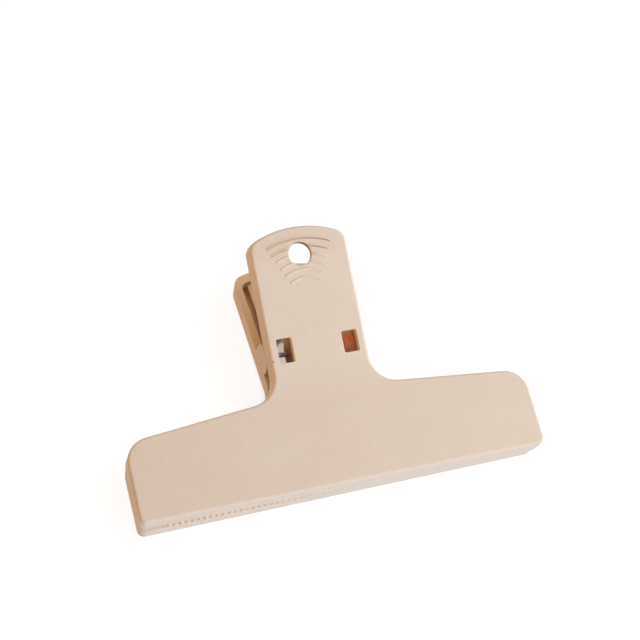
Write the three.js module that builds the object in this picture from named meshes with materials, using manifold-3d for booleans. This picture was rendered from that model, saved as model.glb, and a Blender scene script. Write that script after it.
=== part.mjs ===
// Magnetic clip, a wide spring clip for paper, in millimetres with +Z up.
// Two moulded plastic halves turn on a steel pin, a wound spring holds their toothed
// lips together, and a round magnet sits in the back of the rear handle.

import * as THREE from 'three';
import { mergeVertices } from 'three/addons/utils/BufferGeometryUtils.js';
import Module from 'manifold-3d';

const wasm = await Module();
wasm.setup();

// Jaw of one half: a wide bar with its lip at y = 0 and its outer face at z = jawDepth
const jawWidth = 120;
const jawHeight = 28.9;
const jawDepth = 7.5;
const jawTopSlope = 5.55;
const jawLowerCorner = 2;
const jawUpperCorner = 7;

// Handle: it rises from the jaw, leans outwards and ends in a shallow crown
const handleWidth = 29;
const handleReach = 75.65;
const handleDepth = 6.2;
const handleLean = 13;
const handleCorner = 4;
const crownRadius = 30.7;
const neckFillet = 8;
const rimStepAboveNeck = 1;
const bendBelowJawTop = 5;
const bendLength = 12;

// Moulding: thin shells with rounded outer edges
const plate = 2.1;
const wall = 2.1;
const lipWall = 3.2;
const edgeRound = 0.9;
const leastCorner = 0.3;
const thickWallExtra = 0.45;
const thickWallReach = 62.4;
const jawRibSpacing = 20;
const jawRibThickness = 1.6;
const jawRibSetback = 1.5;
const handleRibOffset = 9.4;
const handleRibThickness = 1.2;
const handleRibHeight = 2;
const handleRibSetback = 2;

// Fits: the gap left between pieces that rest on each other, and round the pin
const seatGap = 0.3;
const pinGap = 0.2;

// Teeth along the lips, cut as one zigzag that both halves share
const toothPitch = 1.75;
const toothHeight = 0.9;
const toothPeriods = 60.5;

// Pin, front lugs and rear cheeks
const pinReach = 42.5;
const pinDiameter = 1.5;
const pinChamfer = 0.2;
const pinSkin = 0.9;
const lugRadius = 3.8;
const lugThickness = 2.4;
const cheekRadius = 5.5;
const leftCheekInner = 11.4;
const rightCheekInner = 9.8;

// Openings that the moulding tools leave beside the hinge
const frontWindowInner = 7.5;
const frontWindowWidth = 4.5;
const frontWindowFoot = 37.1;
const leftWindowHeight = 7.1;
const rightWindowHeight = 6.3;
const rearWindowInner = 3.9;
const rearWindowWidth = 4.7;
const rearWindowFoot = 41.2;
const rearWindowHeight = 9;

// Hanging hole, and the finger ridges that stop short of it
const hangHoleDiameter = 6.8;
const hangHoleFromTop = 8.2;
const ridgeToHole = 0.7;
const ridgeCount = 6;
const ridgeWidth = 0.75;
const ridgeFlank = 0.24;
const ridgeHeight = 0.35;
const ridgeFromTop = 3.5;
const ridgePitch = 2.32;
const topRidgeHalfChord = 9.6;
const ridgeChordStep = 1.02;
const topRidgeRise = 2.05;
const ridgeRiseStep = 0.13;

// Spring wound round the pin
const wireDiameter = 1.1;
const coilMeanRadius = 2.3;
const coilTurns = 5;
const legReach = 17;
const footLength = 3;

// Magnet disc in its pocket
const magnetDiameter = 12;
const magnetThickness = 3;
const magnetProud = 0.5;
const magnetChamfer = 0.35;
const pocketFloor = 1;
const pocketWall = 1.1;
const pocketToHole = 0.85;

// Worked out from the sizes above
const radians = THREE.MathUtils.degToRad;
const jawHalf = jawWidth / 2;
const handleHalf = handleWidth / 2;
const slope = radians(jawTopSlope);
const lean = radians(handleLean);
const bendStart = jawHeight - bendBelowJawTop;
const bendEnd = bendStart + bendLength;
const bendRadius = bendLength / lean;
const pinRadius = pinDiameter / 2;
const wireRadius = wireDiameter / 2;
const lugOuter = frontWindowInner;
const lugInner = lugOuter - lugThickness;
const hangHoleRadius = hangHoleDiameter / 2;
const hangHoleReach = handleReach - hangHoleFromTop;
const magnetRadius = magnetDiameter / 2;
const pocketRadius = magnetRadius + seatGap;
const pocketDepth = magnetThickness - magnetProud + seatGap;
const bossDepth = pocketDepth + pocketFloor;
const magnetReach = hangHoleReach - hangHoleRadius - pocketToHole - pocketRadius;

// Spare lengths, so that a cutting tool passes right through what it cuts
const overcut = 2;
const blankBottom = -2 * overcut;
const cutBottom = blankBottom - overcut;
const keptBottom = cutBottom - overcut;

// Flat sides that stand for a round, by how large the round is
const pinSides = 24;
const holeSides = 32;
const magnetSides = 36;
const cheekRoomSides = 48;

// Closed mesh to solid and back

function toSolid(geometry) {
  const bare = geometry.clone();
  bare.deleteAttribute('normal');
  bare.deleteAttribute('uv');
  const merged = mergeVertices(bare);
  const mesh = new wasm.Mesh({
    numProp: 3,
    vertProperties: new Float32Array(merged.attributes.position.array),
    triVerts: new Uint32Array(merged.index.array),
  });
  return new wasm.Manifold(mesh);
}

function toGeometry(points, triangles) {
  const geometry = new THREE.BufferGeometry();
  geometry.setAttribute('position', new THREE.Float32BufferAttribute(points, 3));
  geometry.setIndex(Array.from(triangles));
  return geometry;
}

function solidGeometry(solid) {
  const mesh = solid.getMesh();
  return toGeometry(mesh.vertProperties, mesh.triVerts);
}

function box(x0, x1, y0, y1, z0, z1) {
  const geometry = new THREE.BoxGeometry(x1 - x0, y1 - y0, z1 - z0);
  geometry.translate((x0 + x1) / 2, (y0 + y1) / 2, (z0 + z1) / 2);
  return toSolid(geometry);
}

// From inner to outer on the given side, as a lowest and a highest x
function span(side, inner, outer) {
  return side > 0 ? [inner, outer] : [-outer, -inner];
}

// A round bar that stands along Z on the point (x, y)
function post(radius, x, y, z0, z1) {
  const geometry = new THREE.CylinderGeometry(radius, radius, z1 - z0, holeSides);
  geometry.rotateX(Math.PI / 2);
  geometry.translate(x, y, (z0 + z1) / 2);
  return toSolid(geometry);
}

// A round bar that lies along X at the pin's axis
function axle(radius, x0, x1, sides) {
  const geometry = new THREE.CylinderGeometry(radius, radius, x1 - x0, sides);
  geometry.rotateZ(Math.PI / 2);
  geometry.translate((x0 + x1) / 2, pinReach, 0);
  return toSolid(geometry);
}

// A profile drawn in Y and Z, extruded along X
function slabAlongX(shape, x0, x1) {
  const geometry = new THREE.ExtrudeGeometry(shape, {
    depth: x1 - x0,
    bevelEnabled: false,
    curveSegments: 12,
  });
  const turn = new THREE.Matrix4().makeBasis(
    new THREE.Vector3(0, 1, 0),
    new THREE.Vector3(0, 0, 1),
    new THREE.Vector3(1, 0, 0),
  );
  geometry.applyMatrix4(turn);
  geometry.translate(x0, 0, 0);
  return toSolid(geometry);
}

// A profile drawn in X and Z, extruded along Y
function slabAlongY(shape, y0, y1) {
  const geometry = new THREE.ExtrudeGeometry(shape, { depth: y1 - y0, bevelEnabled: false });
  const turn = new THREE.Matrix4().makeBasis(
    new THREE.Vector3(1, 0, 0),
    new THREE.Vector3(0, 0, 1),
    new THREE.Vector3(0, -1, 0),
  );
  geometry.applyMatrix4(turn);
  geometry.translate(0, y1, 0);
  return toSolid(geometry);
}

function plan(shape, z0, z1) {
  const geometry = new THREE.ExtrudeGeometry(shape, {
    depth: z1 - z0,
    bevelEnabled: false,
    curveSegments: 6,
  });
  geometry.translate(0, 0, z0);
  return toSolid(geometry);
}

function onBothSides(makeForSide) {
  return makeForSide(1).add(makeForSide(-1));
}

// Outline of the flat moulding

// Draws a line to a corner and rounds it off; a corner that turns left is convex
function roundCorner(shape, before, corner, after, radius) {
  const into = new THREE.Vector2().subVectors(corner, before).normalize();
  const out = new THREE.Vector2().subVectors(after, corner).normalize();
  const turnAngle = Math.acos(THREE.MathUtils.clamp(into.dot(out), -1, 1));
  const convex = into.cross(out) > 0;
  const reach = radius * Math.tan(turnAngle / 2);
  const start = corner.clone().addScaledVector(into, -reach);
  const side = convex ? 1 : -1;
  const normal = new THREE.Vector2(-into.y, into.x).multiplyScalar(side);
  const centre = start.clone().addScaledVector(normal, radius);
  const from = Math.atan2(start.y - centre.y, start.x - centre.x);
  shape.lineTo(start.x, start.y);
  shape.absarc(centre.x, centre.y, radius, from, from + side * turnAngle, !convex);
}

// The T outline, drawn anticlockwise and moved inwards by inset
function clipOutline(inset) {
  const point = (x, y) => new THREE.Vector2(x, y);
  const side = jawHalf - inset;
  const handleSide = handleHalf - inset;
  const topAt = (x) => jawHeight - inset / Math.cos(slope) - Math.abs(x) * Math.tan(slope);
  const keep = (radius) => Math.max(radius - inset, leastCorner);
  const cornerX = handleHalf - handleCorner;
  const crownY = handleReach - crownRadius;
  const cornerY = crownY + Math.sqrt((crownRadius - handleCorner) ** 2 - cornerX ** 2);
  const crownStart = Math.atan2(cornerY - crownY, cornerX);

  const lowerRight = point(side, inset);
  const upperRight = point(side, topAt(side));
  const neckRight = point(handleSide, topAt(handleSide));
  const cornerRight = point(handleSide, cornerY);
  const cornerLeft = point(-handleSide, cornerY);
  const neckLeft = point(-handleSide, topAt(handleSide));
  const upperLeft = point(-side, topAt(side));
  const lowerLeft = point(-side, inset);

  const shape = new THREE.Shape();
  shape.moveTo(0, inset);
  roundCorner(shape, point(0, inset), lowerRight, upperRight, keep(jawLowerCorner));
  roundCorner(shape, lowerRight, upperRight, neckRight, keep(jawUpperCorner));
  roundCorner(shape, upperRight, neckRight, cornerRight, neckFillet + inset);
  shape.lineTo(cornerRight.x, cornerRight.y);
  shape.absarc(cornerX, cornerY, handleCorner - inset, 0, crownStart, false);
  shape.absarc(0, crownY, crownRadius - inset, crownStart, Math.PI - crownStart, false);
  shape.absarc(-cornerX, cornerY, handleCorner - inset, Math.PI - crownStart, Math.PI, false);
  roundCorner(shape, cornerLeft, neckLeft, upperLeft, neckFillet + inset);
  roundCorner(shape, neckLeft, upperLeft, lowerLeft, keep(jawUpperCorner));
  roundCorner(shape, upperLeft, lowerLeft, point(0, inset), keep(jawLowerCorner));
  return shape;
}

// The lean of the handle: flat y and z move round a bend whose neutral layer is the face

function bendPoint(y, z) {
  const fromFace = z - jawDepth;
  const turned = THREE.MathUtils.clamp((y - bendStart) / bendLength, 0, 1) * lean;
  const arm = bendRadius - fromFace;
  const beyond = Math.max(y - bendEnd, 0);
  if (y <= bendStart) return [y, z];
  return [
    bendStart + arm * Math.sin(turned) + beyond * Math.cos(turned),
    jawDepth + bendRadius - arm * Math.cos(turned) + beyond * Math.sin(turned),
  ];
}

// Height of the layer that lies depth below the handle's face, at a bent y
function layerHeight(y, depth) {
  const [endY, endZ] = bendPoint(bendEnd, jawDepth);
  return endZ + (y - endY) * Math.tan(lean) - depth / Math.cos(lean);
}

// Cuts every triangle that crosses the plane y = level, sharing the new points
function splitAt(points, triangles, level) {
  const side = (i) => points[3 * i + 1] - level;
  const shared = new Map();
  const cutPoint = (i, j) => {
    const key = i < j ? `${i},${j}` : `${j},${i}`;
    if (!shared.has(key)) {
      const [a, b] = i < j ? [i, j] : [j, i];
      const t = side(a) / (side(a) - side(b));
      shared.set(key, points.length / 3);
      points.push(points[3 * a] + t * (points[3 * b] - points[3 * a]));
      points.push(level);
      points.push(points[3 * a + 2] + t * (points[3 * b + 2] - points[3 * a + 2]));
    }
    return shared.get(key);
  };
  const result = [];
  for (let t = 0; t < triangles.length; t += 3) {
    const corners = [triangles[t], triangles[t + 1], triangles[t + 2]];
    const ring = [];
    for (let k = 0; k < 3; k++) {
      const here = corners[k];
      const next = corners[(k + 1) % 3];
      ring.push(here);
      if (side(here) * side(next) < 0) ring.push(cutPoint(here, next));
    }
    for (const part of splitRing(ring, side)) result.push(...part);
  }
  return result;
}

// Triangles of a cut triangle's ring, kept to one side of the plane each
function splitRing(ring, side) {
  const fan = (loop) => {
    const parts = [];
    for (let k = 1; k + 1 < loop.length; k++) parts.push([loop[0], loop[k], loop[k + 1]]);
    return parts;
  };
  if (ring.length === 3) return [ring];
  const onPlane = (i) => Math.abs(side(i)) < 1e-9;
  const first = ring.findIndex(onPlane);
  const turned = [...ring.slice(first), ...ring.slice(0, first)];
  const second = turned.findIndex((i, k) => k > 0 && onPlane(i));
  return [...fan(turned.slice(0, second + 1)), ...fan([...turned.slice(second), turned[0]])];
}

function bendSolid(solid) {
  const bendSlices = 6;
  const mesh = solid.getMesh();
  const points = Array.from(mesh.vertProperties);
  let triangles = Array.from(mesh.triVerts);
  for (let k = 0; k <= bendSlices; k++) {
    const level = Math.fround(bendStart + (bendLength * k) / bendSlices);
    triangles = splitAt(points, triangles, level);
  }
  for (let i = 0; i < points.length; i += 3) {
    [points[i + 1], points[i + 2]] = bendPoint(points[i + 1], points[i + 2]);
  }
  return toSolid(toGeometry(points, triangles));
}

// The blank moulding: a rounded T plate, trimmed to its parting line

function roundedBlank() {
  const geometry = new THREE.ExtrudeGeometry(clipOutline(0), {
    depth: jawDepth - blankBottom - 2 * edgeRound,
    bevelThickness: edgeRound,
    bevelSize: edgeRound,
    bevelOffset: -edgeRound,
    bevelSegments: 3,
    curveSegments: 5,
  });
  geometry.translate(0, 0, blankBottom + edgeRound);
  return toSolid(geometry);
}

// Everything below the parting line; toothSign sets which half's peaks come first
function belowParting(toothSign) {
  const top = seatGap / 2;
  const lipHalf = (toothPeriods / 2) * toothPitch;
  const shape = new THREE.Shape();
  shape.moveTo(-jawHalf - overcut, cutBottom);
  shape.lineTo(jawHalf + overcut, cutBottom);
  shape.lineTo(jawHalf + overcut, top);
  shape.lineTo(lipHalf, top);
  for (let k = toothPeriods * 4 - 1; k > 0; k -= 2) {
    const peak = (((k - 1) / 2) % 2 === 0 ? 1 : -1) * toothSign;
    shape.lineTo(-lipHalf + (k * toothPitch) / 4, top + (peak * toothHeight) / 2);
  }
  shape.lineTo(-lipHalf, top);
  shape.lineTo(-jawHalf - overcut, top);
  const lip = slabAlongY(shape, -overcut, lipWall);
  const jaw = box(
    -jawHalf - overcut, jawHalf + overcut, lipWall, jawHeight + overcut, cutBottom, top,
  );
  const neckLine = jawHeight - handleHalf * Math.tan(slope);
  const handle = box(
    -handleHalf - overcut, handleHalf + overcut,
    neckLine + rimStepAboveNeck, handleReach + overcut,
    cutBottom, jawDepth - handleDepth,
  );
  return lip.add(jaw).add(handle);
}

// The hollow of the shell, with the ribs and thicker walls left standing in it
function hollow() {
  const roof = jawDepth - plate;
  const space = plan(clipOutline(wall), cutBottom, roof);
  const lip = box(-jawHalf, jawHalf, -overcut, lipWall, keptBottom, roof + overcut);
  const ribHalf = jawRibThickness / 2;
  let kept = lip;
  for (let x = jawRibSpacing; x < jawHalf - wall - jawRibThickness; x += jawRibSpacing) {
    kept = kept.add(onBothSides((side) => box(
      side * x - ribHalf, side * x + ribHalf, 0, jawHeight, jawRibSetback, roof + overcut,
    )));
  }
  kept = kept.add(onBothSides((side) => {
    const middle = side * (handleHalf - wall);
    return box(
      middle - thickWallExtra, middle + thickWallExtra,
      pinReach, thickWallReach, keptBottom, roof + overcut,
    );
  }));
  kept = kept.add(onBothSides((side) => {
    const middle = side * handleRibOffset;
    return box(
      middle - handleRibThickness / 2, middle + handleRibThickness / 2,
      pinReach + cheekRadius + handleRibSetback, handleReach - handleCorner,
      roof - handleRibHeight, roof + overcut,
    );
  }));
  return space.subtract(kept);
}

// Ridges raised on the face, cut off round the hanging hole

function ridge(index) {
  const halfChord = topRidgeHalfChord - ridgeChordStep * index;
  const rise = topRidgeRise - ridgeRiseStep * index;
  const radius = (halfChord ** 2 + rise ** 2) / (2 * rise);
  const centreY = handleReach - ridgeFromTop - ridgePitch * index - radius;
  const sweep = Math.asin(halfChord / radius);
  const from = Math.PI / 2 - sweep;
  const to = Math.PI / 2 + sweep;
  const half = ridgeWidth / 2;
  const end = (angle) => [radius * Math.cos(angle), centreY + radius * Math.sin(angle)];
  const shape = new THREE.Shape();
  shape.absarc(0, centreY, radius + half, from, to, false);
  shape.absarc(...end(to), half, to, to + Math.PI, false);
  shape.absarc(0, centreY, radius - half, to, from, true);
  shape.absarc(...end(from), half, from + Math.PI, from + 2 * Math.PI, false);
  const geometry = new THREE.ExtrudeGeometry(shape, {
    depth: plate / 2,
    bevelThickness: ridgeHeight,
    bevelSize: ridgeFlank,
    bevelOffset: -ridgeFlank,
    bevelSegments: 1,
    curveSegments: 4,
  });
  geometry.translate(0, 0, jawDepth - plate / 2);
  return toSolid(geometry);
}

function ridges() {
  const clearRadius = hangHoleRadius + ridgeToHole;
  const clear = post(clearRadius, 0, hangHoleReach, 0, jawDepth + overcut);
  let raised = ridge(0).subtract(clear);
  for (let index = 1; index < ridgeCount; index++) {
    raised = raised.add(ridge(index).subtract(clear));
  }
  return raised;
}

function window(side, inner, width, foot, height) {
  const [x0, x1] = span(side, inner, inner + width);
  return box(x0, x1, foot, foot + height, jawDepth - handleDepth, jawDepth + overcut);
}

// The flat moulding of either half, before its handle is leaned over
function flatHalf(toothSign) {
  return roundedBlank()
    .subtract(belowParting(toothSign))
    .subtract(hollow())
    .subtract(post(hangHoleRadius, 0, hangHoleReach, 0, jawDepth + overcut));
}

// A tongue round the pin, joined to the handle's plate
function tongue(radius, x0, x1) {
  const shape = new THREE.Shape();
  const top = (y) => layerHeight(y, plate / 2);
  shape.moveTo(pinReach + radius, top(pinReach + radius));
  shape.lineTo(pinReach - radius, top(pinReach - radius));
  shape.absarc(pinReach, 0, radius, Math.PI, 2 * Math.PI, false);
  return slabAlongX(shape, x0, x1);
}

// Inner face of a cheek; the rear half is modelled turned over, so its sides swap
function cheekInner(side) {
  return side > 0 ? rightCheekInner : leftCheekInner;
}

function frontHalf() {
  const windows = onBothSides((side) => {
    const height = side > 0 ? rightWindowHeight : leftWindowHeight;
    return window(side, frontWindowInner, frontWindowWidth, frontWindowFoot, height);
  });
  const lugs = onBothSides((side) => tongue(lugRadius, ...span(side, lugInner, lugOuter)));
  const cheekRoom = onBothSides((side) => {
    const reach = span(side, cheekInner(side) - seatGap, handleHalf + overcut);
    return axle(cheekRadius + seatGap, ...reach, cheekRoomSides);
  });
  const pinBore = axle(pinRadius + pinGap, -lugOuter - overcut, lugOuter + overcut, pinSides);
  return bendSolid(flatHalf(1).add(ridges()).subtract(windows))
    .add(lugs)
    .subtract(cheekRoom)
    .subtract(pinBore);
}

function rearHalf() {
  const windows = onBothSides((side) => (
    window(side, rearWindowInner, rearWindowWidth, rearWindowFoot, rearWindowHeight)
  ));
  const bossRadius = pocketRadius + pocketWall;
  const boss = post(bossRadius, 0, magnetReach, jawDepth - bossDepth, jawDepth - plate / 2)
    .subtract(windows);
  const pocket = post(pocketRadius, 0, magnetReach, jawDepth - pocketDepth, jawDepth + overcut);
  const flat = flatHalf(-1).subtract(windows).add(boss).subtract(pocket);
  const cheeks = onBothSides((side) => (
    tongue(cheekRadius, ...span(side, cheekInner(-side), handleHalf))
  ));
  const seatEnd = handleHalf - pinSkin;
  const pinSeat = axle(pinRadius + pinGap, -seatEnd, seatEnd, pinSides);
  return bendSolid(flat).add(cheeks).subtract(pinSeat);
}

// Turned pieces: a bar of the given radius along Y with broken edges
function turned(radius, length, chamfer, sides) {
  const profile = [
    new THREE.Vector2(0, -length / 2),
    new THREE.Vector2(radius - chamfer, -length / 2),
    new THREE.Vector2(radius, -length / 2 + chamfer),
    new THREE.Vector2(radius, length / 2 - chamfer),
    new THREE.Vector2(radius - chamfer, length / 2),
    new THREE.Vector2(0, length / 2),
  ];
  return new THREE.LatheGeometry(profile, sides);
}

function hingePin() {
  const length = 2 * (handleHalf - pinSkin - seatGap);
  const geometry = turned(pinRadius, length, pinChamfer, pinSides);
  geometry.rotateZ(Math.PI / 2);
  return geometry;
}

function magnetDisc() {
  const geometry = turned(magnetRadius, magnetThickness, magnetChamfer, magnetSides);
  geometry.rotateX(Math.PI / 2);
  return geometry;
}

// The spring's wire: foot, leg, coil, leg and foot, as one curve measured by length

class SpringWire extends THREE.Curve {
  constructor() {
    super();
    this.coilHalf = lugInner - seatGap - wireRadius;
    this.front = this.legOn(plate);
    this.rear = this.legOn(bossDepth);
    const straight = 2 * Math.PI * coilTurns - Math.PI;
    this.sweep = straight - this.front.angle - this.rear.angle;
    this.coilLength = Math.hypot(this.sweep * coilMeanRadius, 2 * this.coilHalf);
    this.frontEnd = footLength + this.front.length;
    this.total = this.frontEnd + this.coilLength + this.rear.length + footLength;
  }

  // Tangent from the coil to the place where a leg bears, depth below the handle's face
  legOn(depth) {
    const rest = depth + seatGap + wireRadius;
    const [y, z] = bendPoint(pinReach + legReach, jawDepth - rest);
    const away = Math.hypot(y - pinReach, z);
    const angle = Math.atan2(z, y - pinReach) - Math.asin(coilMeanRadius / away);
    return { y, z, angle, length: Math.sqrt(away ** 2 - coilMeanRadius ** 2) };
  }

  // A point on a leg, given how far it lies from the leg's bearing place
  legPoint(leg, toCoil, x, side) {
    const angle = toCoil > 0 ? leg.angle + Math.PI : lean;
    const run = Math.abs(toCoil);
    const y = leg.y + run * Math.cos(angle);
    const z = leg.z + run * Math.sin(angle);
    return new THREE.Vector3(x, y, side * z);
  }

  getPoint(t) {
    const along = t * this.total;
    if (along < this.frontEnd) {
      return this.legPoint(this.front, along - footLength, this.coilHalf, 1);
    }
    const past = along - this.frontEnd;
    if (past < this.coilLength) {
      const part = past / this.coilLength;
      const angle = this.front.angle + Math.PI / 2 + part * this.sweep;
      return new THREE.Vector3(
        this.coilHalf * (1 - 2 * part),
        pinReach + coilMeanRadius * Math.cos(angle),
        coilMeanRadius * Math.sin(angle),
      );
    }
    const toFoot = this.rear.length - (past - this.coilLength);
    return this.legPoint(this.rear, toFoot, -this.coilHalf, -1);
  }
}

// Least gap between stretches of the wire that lie more than half a turn apart
function leastGap(curve, count) {
  const points = curve.getSpacedPoints(count);
  const apart = Math.ceil((count * Math.PI * coilMeanRadius) / curve.total);
  let least = Infinity;
  for (let i = 0; i < points.length; i++) {
    for (let j = i + apart; j < points.length; j++) {
      least = Math.min(least, points[i].distanceTo(points[j]));
    }
  }
  return least - wireDiameter;
}

function torsionSpring() {
  const curve = new SpringWire();
  const stepsPerTurn = 8;
  const sides = 5;
  const stepLength = (2 * Math.PI * coilMeanRadius) / stepsPerTurn;
  const section = new THREE.Shape();
  for (let k = 0; k < sides; k++) {
    const angle = (2 * Math.PI * k) / sides;
    const draw = k === 0 ? 'moveTo' : 'lineTo';
    section[draw](wireRadius * Math.cos(angle), wireRadius * Math.sin(angle));
  }
  const steps = Math.round(curve.total / stepLength);
  console.log(`least gap of the spring to itself: ${leastGap(curve, 600).toFixed(2)} mm`);
  return new THREE.ExtrudeGeometry(section, { steps, extrudePath: curve, bevelEnabled: false });
}

// Materials: satin cream plastic, bright steel wire and dark ferrite

function plastic(color) {
  return new THREE.MeshStandardMaterial({ color, roughness: 0.5, metalness: 0 });
}

function steel() {
  return new THREE.MeshStandardMaterial({ color: 0xb9bbbe, roughness: 0.3, metalness: 1 });
}

function ferrite() {
  return new THREE.MeshStandardMaterial({ color: 0x3a3a3c, roughness: 0.6, metalness: 0.2 });
}

function piece(name, geometry, material) {
  const mesh = new THREE.Mesh(geometry, material);
  mesh.name = name;
  return mesh;
}

// The front half faces up, and the rear half is the same moulding turned over

const assembly = new THREE.Group();

const front = piece('front_half', solidGeometry(frontHalf()), plastic(0xe3cdb6));
assembly.add(front);

const rearGroup = new THREE.Group();
rearGroup.rotation.y = Math.PI;
rearGroup.add(piece('rear_half', solidGeometry(rearHalf()), plastic(0xe3cdb6)));
assembly.add(rearGroup);

const magnet = piece('magnet', magnetDisc(), ferrite());
const magnetMiddle = jawDepth + magnetProud - magnetThickness / 2;
const [magnetY, magnetZ] = bendPoint(magnetReach, magnetMiddle);
magnet.position.set(0, magnetY, magnetZ);
magnet.rotation.x = lean;
rearGroup.add(magnet);

const pin = piece('hinge_pin', hingePin(), steel());
pin.position.set(0, pinReach, 0);
assembly.add(pin);

assembly.add(piece('torsion_spring', torsionSpring(), steel()));

// Laid on its back: it rests on the rear lip and on the end of the rear handle

const lipRest = [edgeRound, jawDepth - edgeRound];
const endRest = bendPoint(handleReach - edgeRound, jawDepth - edgeRound);
assembly.rotation.x = Math.atan2(endRest[1] - lipRest[1], endRest[0] - lipRest[0]);

const clip = new THREE.Group();
clip.add(assembly);
clip.updateMatrixWorld(true);
const bounds = new THREE.Box3().setFromObject(clip, true);
assembly.position.set(
  -(bounds.min.x + bounds.max.x) / 2,
  -(bounds.min.y + bounds.max.y) / 2,
  -bounds.min.z,
);

export default clip;
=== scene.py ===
# %% [markdown]
# # A wide magnetic clip
# The real object is a spring clip for paper: two halves moulded in cream plastic, a steel
# pin, a wound spring and a magnet. Each piece is modelled here by hand in millimetres, then
# laid on the clip that the CAD part gives, so that it moves with the same joint.

import math

import bmesh
import bpy
from mathutils import Matrix, Vector


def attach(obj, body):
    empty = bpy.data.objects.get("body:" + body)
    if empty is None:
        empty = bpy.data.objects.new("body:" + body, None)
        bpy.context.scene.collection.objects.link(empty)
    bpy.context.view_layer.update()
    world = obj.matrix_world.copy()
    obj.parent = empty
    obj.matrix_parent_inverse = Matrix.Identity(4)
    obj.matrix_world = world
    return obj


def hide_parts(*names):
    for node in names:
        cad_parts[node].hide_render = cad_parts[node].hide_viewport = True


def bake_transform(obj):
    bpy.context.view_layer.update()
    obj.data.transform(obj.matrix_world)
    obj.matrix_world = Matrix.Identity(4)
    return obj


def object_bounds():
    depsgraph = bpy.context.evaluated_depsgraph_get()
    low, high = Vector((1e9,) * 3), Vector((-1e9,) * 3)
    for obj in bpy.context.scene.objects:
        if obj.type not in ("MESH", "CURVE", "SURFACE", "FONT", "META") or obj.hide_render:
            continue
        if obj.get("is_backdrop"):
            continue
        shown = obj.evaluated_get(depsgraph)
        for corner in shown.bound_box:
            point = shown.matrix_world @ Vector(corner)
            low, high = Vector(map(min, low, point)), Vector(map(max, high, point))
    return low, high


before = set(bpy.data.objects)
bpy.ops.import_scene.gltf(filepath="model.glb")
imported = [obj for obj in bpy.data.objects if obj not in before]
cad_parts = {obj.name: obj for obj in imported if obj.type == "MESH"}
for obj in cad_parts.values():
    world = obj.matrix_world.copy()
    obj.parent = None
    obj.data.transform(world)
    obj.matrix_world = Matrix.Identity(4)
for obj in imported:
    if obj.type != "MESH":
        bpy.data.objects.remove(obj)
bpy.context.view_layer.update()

# %% [markdown]
# ## Camera
# The picture was taken from above and a little from the left of the lips, close enough that
# the near end looks larger. The place and turn were worked out from the clip's outline; a
# guess by eye would work too, but then every later comparison would be off.

# %% Place the camera
PHOTO_SIDE = 640
FOCAL_PIXELS = 1465.5
camera = bpy.data.objects.new("camera", bpy.data.cameras.new("camera"))
bpy.context.scene.collection.objects.link(camera)
camera.data.sensor_width = 36
camera.data.lens = FOCAL_PIXELS * camera.data.sensor_width / PHOTO_SIDE
camera.data.clip_start = 0.01
camera.location = (-0.112905, -0.172644, 0.387581)
camera.rotation_euler = [math.radians(a) for a in (29.08268, -9.59100, -15.89071)]
bpy.context.scene.camera = camera
print(f"lens {camera.data.lens:.1f} mm, {camera.location.length:.3f} m from the clip")

# %% [markdown]
# ## Hands for modelling
# Edit mode acts on what is selected, so small hands come first: one makes an object the only
# one, one selects by place, and one joins or cuts with a second solid. Selecting by place
# stays right when a size changes, where numbered faces wouldn't. A point that is nearer to a
# line or a plane than TOUCH, in millimetres, counts as lying on it.

# %% Select one object and select by place
TOUCH = 0.01


def only(obj):
    if bpy.context.object and bpy.context.object.mode != "OBJECT":
        bpy.ops.object.mode_set(mode="OBJECT")
    bpy.ops.object.select_all(action="DESELECT")
    obj.select_set(True)
    bpy.context.view_layer.objects.active = obj
    return obj


def pick(obj, kind, test):
    """Edit mode, with only the VERT, EDGE or FACE elements whose points pass the test."""
    only(obj)
    bpy.ops.object.mode_set(mode="EDIT")
    bpy.ops.mesh.select_mode(type=kind)
    bpy.ops.mesh.select_all(action="DESELECT")
    mesh = bmesh.from_edit_mesh(obj.data)
    elements = {"VERT": mesh.verts, "EDGE": mesh.edges, "FACE": mesh.faces}[kind]
    found = 0
    for element in elements:
        points = [element.co] if kind == "VERT" else [v.co for v in element.verts]
        if all(test(p) for p in points):
            element.select_set(True)
            found += 1
    mesh.select_flush_mode()
    bmesh.update_edit_mesh(obj.data)
    return found


def everything(point):
    return True


def done():
    bpy.ops.object.mode_set(mode="OBJECT")
    return bpy.context.object


# %% Round edges, join and cut
def round_edges(obj, radius, steps, test):
    found = pick(obj, "EDGE", test)
    bpy.ops.mesh.bevel(offset=radius, segments=steps, profile=0.5, affect="EDGES")
    done()
    return found


def combine(obj, tool, operation="DIFFERENCE"):
    only(obj)
    modifier = obj.modifiers.new(operation, "BOOLEAN")
    modifier.operation = operation
    modifier.object = tool
    modifier.solver = "MANIFOLD"
    bpy.ops.object.modifier_apply(modifier=modifier.name)
    bpy.data.objects.remove(tool)
    return obj


# %% Plain blocks and bars to cut and join with
def bar(low, high):
    """A plain block between two corners, for cutting or joining."""
    low, high = Vector(low), Vector(high)
    bpy.ops.mesh.primitive_cube_add(size=1, location=(low + high) / 2, scale=high - low)
    bpy.ops.object.transform_apply(location=True, scale=True)
    return bpy.context.object


def rod(radius, start, end, sides=64):
    """A round bar from one point to another, along X or Z."""
    start, end = Vector(start), Vector(end)
    run = end - start
    turn = (0, math.pi / 2, 0) if abs(run.x) > abs(run.z) else (0, 0, 0)
    bpy.ops.mesh.primitive_cylinder_add(
        vertices=sides, radius=radius, depth=run.length, location=(start + end) / 2,
        rotation=turn,
    )
    bpy.ops.object.transform_apply(location=True, rotation=True)
    return bpy.context.object


def mirrored(low, high):
    """The x-range of a piece on the right and of its twin on the left."""
    return (low, high), (-high, -low)


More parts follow.
